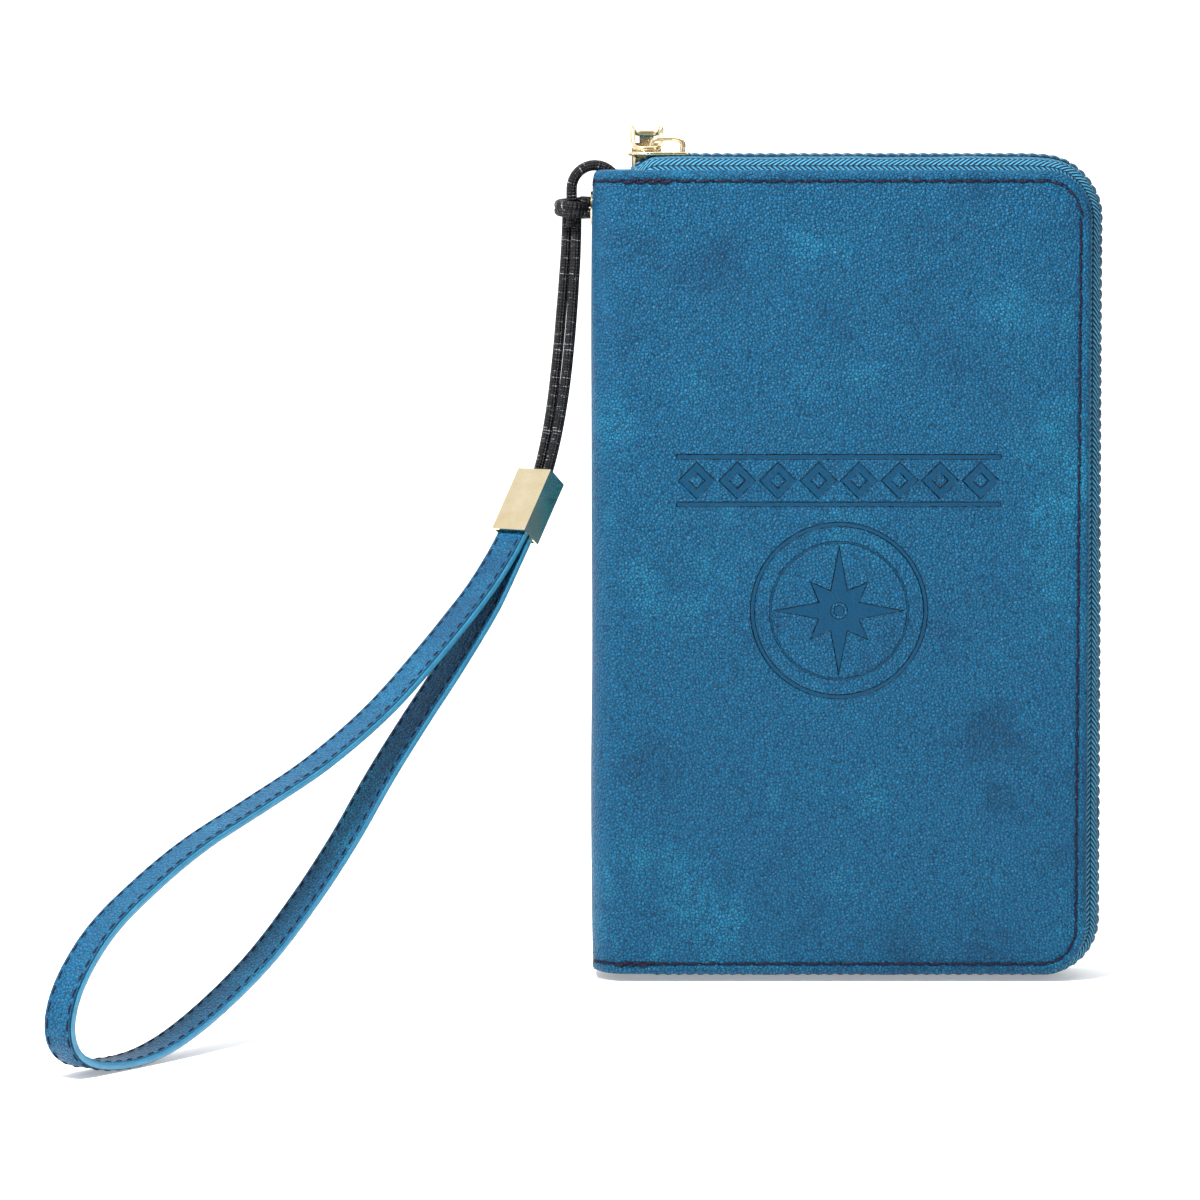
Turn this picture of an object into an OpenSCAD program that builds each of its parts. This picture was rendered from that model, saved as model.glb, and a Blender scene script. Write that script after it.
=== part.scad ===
// Zip-around passport wallet with a wrist strap, standing on its lower zip run.
// X runs from the spine to the zipper's long side, the front cover faces -Y and Z is up.

/* [Wallet] */
// Width over the spine and the zipper
wallet_w = 121; // [116:0.5:130]
// Height over the upper and lower zipper runs
wallet_h = 195; // [185:1:210]
// Thickness over both covers
wallet_t = 25; // [24:0.5:28]
// Outer radius of the leather where each cover turns into the spine
spine_r = 8; // [7:0.5:9]
// Corner radius of the covers
cover_r = 11; // [9:0.5:13]
// How far the zipper bulges past the covers at the top
bulge_top = 3; // [2.5:0.1:3.5]
// How far the zipper bulges past the covers at the long side
bulge_side = 4; // [3.5:0.1:4.5]
// How far the zipper bulges past the covers at the bottom
bulge_bottom = 1.8; // [1.5:0.1:2.5]

/* [Layers] */
// Thickness of the outer leather
leather_t = 1.2; // [1:0.1:1.4]
// Thickness of the stiffening board
board_t = 0.9; // [0.8:0.1:1]
// Thickness of the cloth lining
lining_t = 0.5; // [0.4:0.1:0.6]
// Thickness of one card pocket panel
card_t = 0.9; // [0.7:0.1:1]

/* [Zipper] */
// Thickness of the woven tape
tape_t = 0.8; // [0.6:0.1:0.8]
// Depth of the tape between the covers
tape_depth = 9; // [8:0.5:9.5]
// Width of one half of the coil chain
coil_w = 2.2; // [1.8:0.1:2.4]
// Height of the coil chain
coil_h = 2.4; // [2:0.1:2.6]
// Length of the slider
slider_l = 15; // [13:0.5:15.5]
// Width of the slider
slider_w = 9.2; // [8.5:0.1:10]
// Length of the pull tab
tab_l = 24; // [18:1:28]

/* [Strap] */
// Diameter of the cord
cord_d = 2.5; // [2.2:0.1:2.6]
// Width of the strap
strap_w = 8; // [6:0.5:8.2]
// Thickness of the strap
strap_t = 1.8; // [1.4:0.1:1.9]
// Length of the metal clamp
clamp_l = 17; // [15:0.5:18]

/* [Hidden] */
$fn = 96;
eps = 0.01;

// Cover outline. Each layer is placed by its distance from the mid-plane.
half_t = wallet_t / 2;
left_x = -wallet_w / 2;
right_x = wallet_w / 2;
cover_right = right_x - bulge_side;
cover_top = wallet_h - bulge_top;
leather_in = half_t - leather_t;
board_in = leather_in - board_t;
lining_in = board_in - lining_t;
board_inset = 9.5;
lining_inset = 1.2;

// Where the covers turn into the spine. Each turn is cut in the middle for the fold.
turn_x = left_x + spine_r;
turn_y = half_t - spine_r;
turn_gap = 1.5;
spine_bottom = bulge_bottom;
spine_top = cover_top - 1.5;

// Zipper. The zipper follows three sides of the covers, in the plane of the covers.
zip_corner_r = cover_r + 3;
zip_start_x = -51.5;
shoulder_r = 2.6;
tape_edge = 1.0;
coil_edge = 0.7;

// Slider, at rest near the spine on the upper run
slider_x = -52.5;
slider_gap = 0.3;
plate_t = 0.7;
lip_t = 1.1;
slot_below = 0.45;
post_w = 1.0;
bridge_x0 = -47.2;
bridge_x1 = -38.4;
bridge_half = 0.8;
bridge_bar = 0.75;
bridge_z = wallet_h + slider_gap + plate_t;
bridge_h = 3.6;
bridge_leg = 1.2;

// Pull link, threaded round the left leg of the bridge. It lies over the back zipper tape.
link_x = -47.7;
link_wire = 1.2;
link_half = 3.4;
link_corner = 1.5;
link_front = -2.05;
link_rear = 13.95;
link_slope = 12.8;
link_z = 197.3;

// Pull tab, hanging from the link's rear bar behind the back cover
knuckle_r = 1.0;
knuckle_bore_r = 0.68;
knuckle_half = 1.7;
tab_w = 7;
tab_t = 1.0;
tab_shoulder = 2.2;

// The front coil starts past the slider, so that the front cover can swing away from it
front_coil_x = slider_x + slider_l + 2;

// Pockets
pocket_x0 = -46;
pocket_x1 = 50;
pocket_z = 14;
card_top = 150;
card_step = 14;
pass_top = 120;
pass_gap = 4.5;
pass_wall = 1;
boarding_top = 150;

// Pen loop on the spine lining
pen_r = 5;
pen_t = 0.8;
pen_z0 = 78;
pen_z1 = 106;

// Eyelet and the cord's hitch through it
eyelet_z = 183;
eyelet_bore_r = 2.75;
eyelet_barrel_r = 3;
eyelet_flange_r = 4.15;
flange_t = 0.5;
hitch_x = -65.5;
inner_x = -54.5;
hitch_low_z = 180;
arch_z = 187.5;
strand_gap = 1.3;
wrap_r = 3.1;
turn_pitch = 2.6;
turn_web = 1.2;

// Strap plane: s is the distance from the hitch, out to the front and left
strap_azimuth = 233.13;
clamp_s = 17;
clamp_z = 113.2;
clamp_tilt = -53.13;
clamp_w = 9.6;
clamp_depth = 6.4;
clamp_wall = 0.6;

// Route of one cord strand, as [s, height, offset to the side]
strand_route = [
    [0, 178.5, 1.35], [0.2, 175, 1.4], [0.5, 171, 1.45], [1, 166.5, 1.5], [1.5, 162, 1.55],
    [2.1, 157.5, 1.6], [2.7, 153, 1.6], [3.4, 148.5, 1.6], [4.2, 144, 1.6], [5.1, 139.5, 1.55],
    [6.2, 135, 1.5], [7.5, 130.5, 1.45], [9, 126.2, 1.4], [10.5, 122.6, 1.35], [11.9, 120, 1.35],
    [13.4, 118, 1.35],
];

// Route of the flat strap from one end in the clamp round to the other, as [s, height]
loop_route = [
    [20.8, 109.8], [23.2, 106.6], [29, 100.5], [38, 92.8], [56, 80.2], [74, 69.2], [95, 59.6],
    [116, 52.5], [136, 46], [152, 39], [167, 30.5], [177, 20.5], [180.5, 11.5], [177.5, 4.8],
    [168, 1.6], [153, 1.8], [136.5, 6.8], [116, 17.2], [99, 29.5], [85, 41.8], [72.5, 54.5],
    [60, 66], [47, 77.4], [34, 89.8], [26, 99.5], [21.4, 105.4], [19.2, 108.4],
];
loop_steps = 4;

leather_colour = [0.11, 0.38, 0.55];
lining_colour = [0.10, 0.30, 0.45];
tape_colour = [0.20, 0.48, 0.62];
coil_colour = [0.12, 0.36, 0.50];
gold_colour = [0.90, 0.82, 0.60];
cord_colour = [0.06, 0.06, 0.07];
board_colour = [0.72, 0.66, 0.56];

// ---------- curves ----------
function spline(a, b, c, d, t) =
    0.5 * (2 * b + (c - a) * t + (2 * a - 5 * b + 4 * c - d) * t * t
        + (3 * b - a - 3 * c + d) * t * t * t);

function smooth(route, steps) = [
    for (i = [0 : len(route) - 2])
        for (k = [0 : steps - 1])
            let (a = route[max(i - 1, 0)], d = route[min(i + 2, len(route) - 1)])
            spline(a, route[i], route[i + 1], d, k / steps),
    route[len(route) - 1]
];

function along(path, i) =
    let (d = path[min(i + 1, len(path) - 1)] - path[max(i - 1, 0)])
    d / norm(d);

function beside(path, offset) = [
    for (i = [0 : len(path) - 1])
        let (t = along(path, i))
        path[i] + offset * [-t[1], t[0]]
];

// ---------- shared shapes ----------
// Cover outline in X and Z, standing at distance w0 to w1 in front of the mid-plane
module cover_slab(inset, w0, w1, x0 = turn_x)
    translate([0, -w0, 0])
        rotate([90, 0, 0])
            linear_extrude(w1 - w0)
                cover_outline(inset, x0);

module cover_outline(inset, x0) {
    r = max(cover_r - inset, 2);
    x1 = cover_right - inset;
    z0 = bulge_bottom + inset;
    z1 = cover_top - inset;
    union() {
        translate([x0, z0])
            square([x1 - r - x0, z1 - z0]);
        translate([x0, z0 + r])
            square([x1 - x0, z1 - z0 - 2 * r]);
        translate([x1 - r, z0 + r])
            circle(r);
        translate([x1 - r, z1 - r])
            circle(r);
    }
}

// Part of the leather turn, swept by an angle of 45 degrees less half the gap at the cut
module turn_piece(z0, z1)
    rotate_extrude(angle = 45 - turn_gap)
        translate([spine_r - leather_t, 0])
            square([leather_t, z1 - z0]);

// The cover's half of the turn starts at the flat cover, and the spine's half at the spine
module cover_turn(z0, z1)
    translate([turn_x, -turn_y, z0])
        rotate([0, 0, 270])
            mirror([0, 1, 0])
                turn_piece(z0, z1);

module spine_turn(z0, z1)
    translate([turn_x, -turn_y, z0])
        rotate([0, 0, 180])
            turn_piece(z0, z1);

module back_side()
    mirror([0, 1, 0])
        children();

// A profile [outward, distance from the mid-plane] swept along the zipper, on the front side
module zip_run(length)
    rotate([90, 0, 0])
        linear_extrude(length)
            children();

module zip_sweep(start_x) {
    side_l = wallet_h - 2 * zip_corner_r;
    corner_x = right_x - zip_corner_r;
    rotate([90, 0, 0]) {
        translate([start_x, wallet_h, 0])
            rotate([0, 0, 90])
                zip_run(corner_x - start_x)
                    children();
        translate([right_x, wallet_h - zip_corner_r, 0])
            zip_run(side_l)
                children();
        translate([corner_x, 0, 0])
            rotate([0, 0, -90])
                zip_run(corner_x - zip_start_x)
                    children();
        translate([corner_x, wallet_h - zip_corner_r, 0])
            zip_corner()
                children();
        translate([corner_x, zip_corner_r, 0])
            rotate([0, 0, -90])
                zip_corner()
                    children();
    }
}

module zip_corner()
    rotate_extrude(angle = 90)
        translate([zip_corner_r, 0])
            children();

// Tape: flange between the layers, a round shoulder and the flat run to the coil
module tape_profile() {
    flange_out = leather_in - 0.1;
    union() {
        translate([-tape_depth, flange_out - tape_t])
            square([tape_depth - shoulder_r, tape_t]);
        translate([-tape_t, tape_edge])
            square([tape_t, flange_out - shoulder_r - tape_edge]);
        intersection() {
            translate([-shoulder_r, flange_out - shoulder_r])
                difference() {
                    circle(shoulder_r);
                    circle(shoulder_r - tape_t);
                }
            translate([-shoulder_r, flange_out - shoulder_r])
                square(shoulder_r);
        }
    }
}

module coil_profile()
    translate([-tape_t - 0.05 - coil_h, coil_edge])
        square([coil_h, coil_w]);

module panel(x0, x1, z0, z1, w0, w1)
    translate([x0, -w1, z0])
        cube([x1 - x0, w1 - w0, z1 - z0]);

// ---------- covers ----------
module cover_leather()
    color(leather_colour)
        union() {
            cover_slab(0, leather_in, half_t);
            cover_turn(bulge_bottom, cover_top);
        }

module cover_board()
    color(board_colour)
        cover_slab(board_inset, board_in + 0.05, leather_in - 0.05, turn_x + 2);

module cover_lining()
    color(lining_colour)
        cover_slab(lining_inset, lining_in, board_in, turn_x + 1);

module front_cover_leather() cover_leather();
module front_cover_board() cover_board();
module front_lining() cover_lining();
module back_cover_leather() back_side() cover_leather();
module back_cover_board() back_side() cover_board();
module back_lining() back_side() cover_lining();

// ---------- pockets ----------
// Stepped card pockets: the lowest opening is nearest the middle of the wallet
module card_pocket(k)
    color(leather_colour)
        panel(pocket_x0, pocket_x1, pocket_z, card_top - card_step * k,
            lining_in - card_t * (k + 1) + 0.02, lining_in - card_t * k - 0.02);

module card_pocket_1() card_pocket(0);
module card_pocket_2() card_pocket(1);
module card_pocket_3() card_pocket(2);
module card_pocket_4() card_pocket(3);

module boarding_pass_pocket()
    color(leather_colour)
        back_side()
            panel(pocket_x0, pocket_x1, pocket_z, boarding_top,
                lining_in - card_t + 0.02, lining_in - 0.02);

// Pouch with side walls and a floor, open at the top
module passport_pocket() {
    w_out = lining_in - card_t;
    w_in = w_out - pass_gap - pass_wall;
    color(leather_colour)
        back_side()
            difference() {
                panel(pocket_x0 + 1, pocket_x1 - 1, pocket_z, pass_top, w_in, w_out);
                panel(pocket_x0 + 1 + pass_wall, pocket_x1 - 1 - pass_wall,
                    pocket_z + pass_wall, pass_top + 1, w_in + pass_wall, w_out + 1);
            }
}

// ---------- zipper ----------
module zipper_tape_front()
    color(tape_colour)
        zip_sweep(zip_start_x)
            tape_profile();

module zipper_tape_back()
    color(tape_colour)
        back_side()
            zip_sweep(zip_start_x)
                tape_profile();

module zipper_coil_front()
    color(coil_colour)
        zip_sweep(front_coil_x)
            coil_profile();

module zipper_coil_back()
    color(coil_colour)
        back_side()
            zip_sweep(zip_start_x)
                coil_profile();

// Two plates joined by the post at the nose, with lips that leave a slot for the tapes
module slider_body() {
    top_z = wallet_h + slider_gap;
    slot_z = wallet_h - tape_t - slot_below;
    floor_z = wallet_h - tape_t - coil_h - 0.55;
    half_w = slider_w / 2;
    color(gold_colour)
        union() {
            translate([slider_x, -half_w, top_z])
                cube([slider_l, slider_w, plate_t]);
            translate([slider_x, -half_w, floor_z - plate_t])
                cube([slider_l, slider_w, plate_t]);
            for (side = [-1, 1])
                translate([slider_x, side * (half_w - lip_t / 2) - lip_t / 2, floor_z - eps])
                    cube([slider_l, lip_t, slot_z - floor_z + eps]);
            translate([slider_x + 0.6, -post_w / 2, floor_z - eps])
                cube([3, post_w, top_z - floor_z + 2 * eps]);
        }
}

// Arched bridge over the slider
module slider_bridge()
    color(gold_colour)
        translate([0, bridge_half, bridge_z])
            rotate([90, 0, 0])
                linear_extrude(2 * bridge_half)
                    difference() {
                        bridge_shape(bridge_x0, bridge_x1, bridge_h, 1.6);
                        translate([0, -1])
                            bridge_shape(bridge_x0 + bridge_leg, bridge_x1 - bridge_leg,
                                bridge_h - bridge_bar + 1, 0.8);
                    }

module bridge_shape(x0, x1, h, r)
    union() {
        translate([x0, 0])
            square([x1 - x0, h - r]);
        translate([x0 + r, 0])
            square([x1 - x0 - 2 * r, h]);
        translate([x0 + r, h - r])
            circle(r);
        translate([x1 - r, h - r])
            circle(r);
    }

// Link of round wire: a long rectangle with rounded corners
module pull_link() {
    side_x = link_half - link_corner;
    color(gold_colour)
        translate([link_x, 0, link_z])
            rotate([link_slope, 0, 0])
                union() {
                    for (side = [-1, 1])
                        translate([side * link_half, link_front + link_corner, 0])
                            rotate([-90, 0, 0])
                                wire(link_rear - link_front - 2 * link_corner);
                    for (y = [link_front, link_rear])
                        translate([-side_x, y, 0])
                            rotate([0, 90, 0])
                                wire(2 * side_x);
                    link_bend(side_x, link_rear - link_corner, 0);
                    link_bend(-side_x, link_rear - link_corner, 90);
                    link_bend(-side_x, link_front + link_corner, 180);
                    link_bend(side_x, link_front + link_corner, 270);
                }
}

module wire(length)
    cylinder(d = link_wire, h = length, $fn = 32);

module link_bend(x, y, turned)
    translate([x, y, 0])
        rotate([0, 0, turned])
            rotate_extrude(angle = 90)
                translate([link_corner, 0])
                    circle(d = link_wire, $fn = 32);

// Flat pull tab, curled round the rear bar of the link
module pull_tab() {
    end_r = tab_w / 2;
    color(gold_colour)
        translate([link_x, link_rear * cos(link_slope), link_z + link_rear * sin(link_slope)])
            difference() {
                union() {
                    translate([-knuckle_half, 0, 0])
                        rotate([0, 90, 0])
                            cylinder(r = knuckle_r, h = 2 * knuckle_half);
                    translate([0, tab_t / 2, 0])
                        rotate([90, 0, 0])
                            linear_extrude(tab_t)
                                union() {
                                    translate([-knuckle_half, -tab_shoulder - eps])
                                        square([2 * knuckle_half, tab_shoulder]);
                                    translate([-end_r, end_r - tab_l])
                                        square([tab_w, tab_l - end_r - tab_shoulder]);
                                    translate([0, end_r - tab_l])
                                        circle(r = end_r);
                                }
                }
                translate([-knuckle_half - 1, 0, 0])
                    rotate([0, 90, 0])
                        cylinder(r = knuckle_bore_r, h = 2 * knuckle_half + 2);
            }
}

// ---------- spine ----------
module spine_leather()
    color(leather_colour)
        difference() {
            union() {
                translate([left_x, -turn_y, spine_bottom])
                    cube([leather_t, 2 * turn_y, spine_top - spine_bottom]);
                spine_turn(spine_bottom, spine_top);
                back_side()
                    spine_turn(spine_bottom, spine_top);
            }
            eyelet_hole(eyelet_barrel_r + 0.05);
        }

module spine_lining()
    color(lining_colour)
        difference() {
            translate([left_x + leather_t + 0.02, -turn_y, spine_bottom + 4])
                cube([lining_t, 2 * turn_y, spine_top - spine_bottom - 6]);
            eyelet_hole(eyelet_barrel_r + 0.05);
        }

module eyelet_hole(r)
    translate([left_x - 2, 0, eyelet_z])
        rotate([0, 90, 0])
            cylinder(r = r, h = 8);

module eyelet() {
    barrel_l = leather_t + lining_t + 0.1;
    color(gold_colour)
        difference() {
            translate([left_x, 0, eyelet_z])
                rotate([0, 90, 0])
                    union() {
                        translate([0, 0, -flange_t])
                            cylinder(r = eyelet_flange_r, h = flange_t);
                        translate([0, 0, -eps])
                            cylinder(r = eyelet_barrel_r, h = barrel_l + eps);
                    }
            eyelet_hole(eyelet_bore_r);
        }
}

module eyelet_washer()
    color(gold_colour)
        translate([left_x + leather_t + lining_t + 0.1, 0, eyelet_z])
            rotate([0, 90, 0])
                difference() {
                    cylinder(r = eyelet_flange_r, h = flange_t);
                    translate([0, 0, -1])
                        cylinder(r = eyelet_bore_r, h = flange_t + 2);
                }

// Elastic loop for a pen, with its sewn foot on the spine lining
module pen_loop() {
    foot_x = left_x + leather_t + lining_t + 0.05;
    centre_x = foot_x + pen_r + pen_t;
    color(cord_colour)
        difference() {
            union() {
                translate([centre_x, 0, pen_z0])
                    cylinder(r = pen_r + pen_t, h = pen_z1 - pen_z0);
                translate([foot_x, -turn_y + 0.2, pen_z0])
                    cube([pen_t, 2 * turn_y - 0.4, pen_z1 - pen_z0]);
            }
            translate([centre_x, 0, pen_z0 - 1])
                cylinder(r = pen_r, h = pen_z1 - pen_z0 + 2);
        }
}

// Cord through the eyelet: two strands over the spine's edge, and two turns round them
module cord_hitch()
    color(cord_colour)
        union() {
            for (side = [-1, 1])
                translate([0, side * strand_gap, 0])
                    cord_arch();
            translate([hitch_x, 0, eyelet_z - turn_pitch / 2])
                cord_turns();
        }

module cord_arch() {
    arch_r = (inner_x - hitch_x) / 2;
    translate([hitch_x, 0, hitch_low_z])
        cylinder(d = cord_d, h = arch_z - hitch_low_z, $fn = 32);
    translate([inner_x, 0, eyelet_z - cord_d])
        cylinder(d = cord_d, h = arch_z - eyelet_z + cord_d, $fn = 32);
    translate([hitch_x + arch_r, 0, arch_z])
        rotate([90, 0, 0])
            rotate_extrude(angle = 180)
                translate([arch_r, 0])
                    circle(d = cord_d, $fn = 32);
}

// Two turns with a thin web between them, and their ends through the eyelet
module cord_turns() {
    for (z = [0, turn_pitch])
        translate([0, 0, z]) {
            cord_turn();
            translate([wrap_r, 0, 0])
                rotate([0, 90, 0])
                    cylinder(d = cord_d - 0.3, h = inner_x - hitch_x - wrap_r, $fn = 32);
        }
    linear_extrude(turn_pitch)
        difference() {
            turn_outline(wrap_r + turn_web / 2);
            turn_outline(wrap_r - turn_web / 2);
        }
}

module turn_outline(r)
    union() {
        translate([-r, -strand_gap])
            square([2 * r, 2 * strand_gap]);
        for (side = [-1, 1])
            translate([0, side * strand_gap])
                circle(r);
    }

module cord_turn() {
    for (turned = [0, 180])
        rotate([0, 0, turned])
            translate([0, strand_gap, 0])
                rotate_extrude(angle = 180)
                    translate([wrap_r, 0])
                        circle(d = cord_d, $fn = 32);
    for (side = [-1, 1])
        translate([side * wrap_r, -strand_gap, 0])
            rotate([-90, 0, 0])
                cylinder(d = cord_d, h = 2 * strand_gap, $fn = 32);
}

// ---------- strap ----------
module strap_plane()
    translate([hitch_x, 0, 0])
        rotate([90, 0, strap_azimuth])
            children();

// Tube swept along a path in the strap plane
module tube(path, d, sides) {
    n = len(path);
    points = [
        for (i = [0 : n - 1])
            let (t = along(path, i), u = cross(t, [0, 0, 1]) / norm(cross(t, [0, 0, 1])))
            let (v = cross(t, u))
            for (k = [0 : sides - 1])
                path[i] + d / 2 * (cos(360 * k / sides) * u + sin(360 * k / sides) * v)
    ];
    walls = [
        for (i = [0 : n - 2])
            for (k = [0 : sides - 1])
                let (m = (k + 1) % sides)
                [i * sides + k, (i + 1) * sides + k, (i + 1) * sides + m, i * sides + m]
    ];
    start_cap = [for (k = [0 : sides - 1]) k];
    end_cap = [for (k = [sides - 1 : -1 : 0]) (n - 1) * sides + k];
    polyhedron(points, concat(walls, [start_cap, end_cap]), convexity = 4);
}

module cord_strand(side) {
    route = [for (p = strand_route) [p[0], p[1], side * p[2]]];
    color(cord_colour)
        strap_plane()
            tube(route, cord_d, 8);
}

module cord_strand_left() cord_strand(1);
module cord_strand_right() cord_strand(-1);

// Folded metal box that grips both strap ends and both cord strands
module strap_clamp()
    color(gold_colour)
        strap_plane()
            translate([clamp_s, clamp_z, 0])
                rotate([0, 0, clamp_tilt])
                    difference() {
                        cube([clamp_l, clamp_depth, clamp_w], center = true);
                        cube([clamp_l + 1, clamp_depth - 2 * clamp_wall,
                            clamp_w - 2 * clamp_wall], center = true);
                    }

module strap_loop() {
    path = smooth(loop_route, loop_steps);
    side_a = beside(path, strap_t / 2);
    side_b = beside(path, -strap_t / 2);
    count = len(path);
    color(leather_colour)
        strap_plane()
            translate([0, 0, -strap_w / 2])
                linear_extrude(strap_w)
                    polygon(concat(side_a, [for (i = [count - 1 : -1 : 0]) side_b[i]]));
}

back_cover_leather();
back_cover_board();
back_lining();
boarding_pass_pocket();
passport_pocket();
zipper_tape_back();
zipper_coil_back();
spine_leather();
spine_lining();
pen_loop();
eyelet();
eyelet_washer();
cord_hitch();
front_cover_leather();
front_cover_board();
front_lining();
card_pocket_1();
card_pocket_2();
card_pocket_3();
card_pocket_4();
zipper_tape_front();
zipper_coil_front();
slider_body();
slider_bridge();
pull_link();
pull_tab();
cord_strand_left();
cord_strand_right();
strap_clamp();
strap_loop();
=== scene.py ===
import math
import random

import bpy
import numpy as np
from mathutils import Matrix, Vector


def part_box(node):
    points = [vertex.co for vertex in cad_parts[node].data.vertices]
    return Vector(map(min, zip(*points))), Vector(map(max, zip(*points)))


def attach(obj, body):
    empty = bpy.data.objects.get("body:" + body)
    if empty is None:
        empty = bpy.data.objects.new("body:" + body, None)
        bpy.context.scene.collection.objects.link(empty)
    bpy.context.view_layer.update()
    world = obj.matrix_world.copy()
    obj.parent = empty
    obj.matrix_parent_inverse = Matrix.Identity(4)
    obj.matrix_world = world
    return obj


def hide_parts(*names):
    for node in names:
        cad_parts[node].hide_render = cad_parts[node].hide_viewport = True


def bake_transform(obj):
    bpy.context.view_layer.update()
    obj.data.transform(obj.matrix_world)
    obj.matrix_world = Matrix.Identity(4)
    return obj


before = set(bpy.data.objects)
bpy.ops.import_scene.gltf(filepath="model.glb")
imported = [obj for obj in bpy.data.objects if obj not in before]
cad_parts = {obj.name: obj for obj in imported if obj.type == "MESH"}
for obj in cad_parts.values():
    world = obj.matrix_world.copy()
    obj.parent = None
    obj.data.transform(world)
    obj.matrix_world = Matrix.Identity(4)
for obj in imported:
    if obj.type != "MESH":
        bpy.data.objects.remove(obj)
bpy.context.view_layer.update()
MM = 0.001
rng = random.Random(11)


def box_mm(node):
    """Corners of a CAD node in millimetres."""
    low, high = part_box(node)
    return np.array(low) / MM, np.array(high) / MM


# ---------- sizes, in millimetres, from the frame ----------
FRONT_LOW, FRONT_HIGH = box_mm("front_cover_leather")
SPINE_LOW, SPINE_HIGH = box_mm("spine_leather")
TAPE_LOW, TAPE_HIGH = box_mm("zipper_tape_front")
EYELET_LOW, EYELET_HIGH = box_mm("eyelet")
EYELET_Z = (EYELET_LOW[2] + EYELET_HIGH[2]) / 2
HALF_T = -FRONT_LOW[1]
LEFT = SPINE_LOW[0]
RIGHT = FRONT_HIGH[0]
BOTTOM, TOP = FRONT_LOW[2], FRONT_HIGH[2]
SPINE_TOP = SPINE_HIGH[2]
TURN_R = 8.0
TURN_X = LEFT + TURN_R
TURN_Y = HALF_T - TURN_R
LEATHER = 1.2
CORNER_R = 11.0
ARC = TURN_R * math.pi / 2
COVER_U = ARC + RIGHT - TURN_X
CORD_D = 2.5

# ---------- camera: level with the top of the wallet, looking slightly down ----------
CAMERA_AT = Vector((-58.8, -1300, 205)) * MM
CAMERA_DOWN = math.radians(5.06)
camera_data = bpy.data.cameras.new("camera")
camera_data.sensor_width = 36
camera_data.lens = 164.6
camera = bpy.data.objects.new("camera", camera_data)
camera.location = CAMERA_AT
camera.rotation_euler = (math.pi / 2 - CAMERA_DOWN, 0, 0)
bpy.context.scene.collection.objects.link(camera)
bpy.context.scene.camera = camera

# ---------- cord and strap routes ----------
HITCH_X = -65.5
INNER_X = -54.5
STRAP_DIRECTION = np.array([-0.6, -0.8, 0.0])
STRAP_SIDE = np.array([-0.8, 0.6, 0.0])
# Strand: [distance out from the hitch, height, offset to the side], in millimetres
STRAND_ROUTE = [
    (-0.1, 181.5, 1.3), (0, 178.5, 1.35), (0.2, 175, 1.4), (0.5, 171, 1.45), (1, 166.5, 1.5),
    (1.5, 162, 1.55), (2.1, 157.5, 1.6), (2.7, 153, 1.6), (3.4, 148.5, 1.6), (4.2, 144, 1.6),
    (5.1, 139.5, 1.55), (6.2, 135, 1.5), (7.5, 130.5, 1.45), (9, 126.2, 1.4), (10.5, 122.6, 1.35),
    (11.9, 120, 1.35), (13.8, 117.4, 1.3),
]
# Strap: [distance out from the hitch, height], from one end in the clamp round to the other
LOOP_ROUTE = [
    (20.8, 109.8), (23.2, 106.6), (29, 100.5), (38, 92.8), (56, 80.2), (74, 69.2), (95, 59.6),
    (116, 52.5), (136, 46), (152, 39), (167, 30.5), (177, 20.5), (180.5, 11.5), (177.5, 4.8),
    (168, 1.6), (153, 1.8), (136.5, 6.8), (116, 17.2), (99, 29.5), (85, 41.8), (72.5, 54.5),
    (60, 66), (47, 77.4), (34, 89.8), (26, 99.5), (21.4, 105.4), (19.2, 108.4),
]


def strap_point(s, z, w=0.0):
    return np.array([HITCH_X, 0, 0]) + s * STRAP_DIRECTION + w * STRAP_SIDE + np.array([0, 0, z])


def spline(points, steps):
    """Catmull-Rom curve through the points."""
    p = [np.array(q, float) for q in points]
    out = []
    for i in range(len(p) - 1):
        a, b, c, d = p[max(i - 1, 0)], p[i], p[i + 1], p[min(i + 2, len(p) - 1)]
        for k in range(steps):
            t = k / steps
            out.append(0.5 * (2 * b + (c - a) * t + (2 * a - 5 * b + 4 * c - d) * t * t
                              + (3 * b - a - 3 * c + d) * t ** 3))
    out.append(p[-1])
    return np.array(out)


def rounded(c, power):
    """A cosine or sine pushed outward, which turns a circle into a rounded square."""
    return math.copysign(abs(c) ** power, c)


def distances(profile):
    """Distance along a profile at each of its points."""
    runs = [0.0]
    for a, b in zip(profile, profile[1:]):
        runs.append(runs[-1] + math.dist(a, b))
    return runs


def metres(point):
    return tuple(c * MM for c in point)


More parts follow.
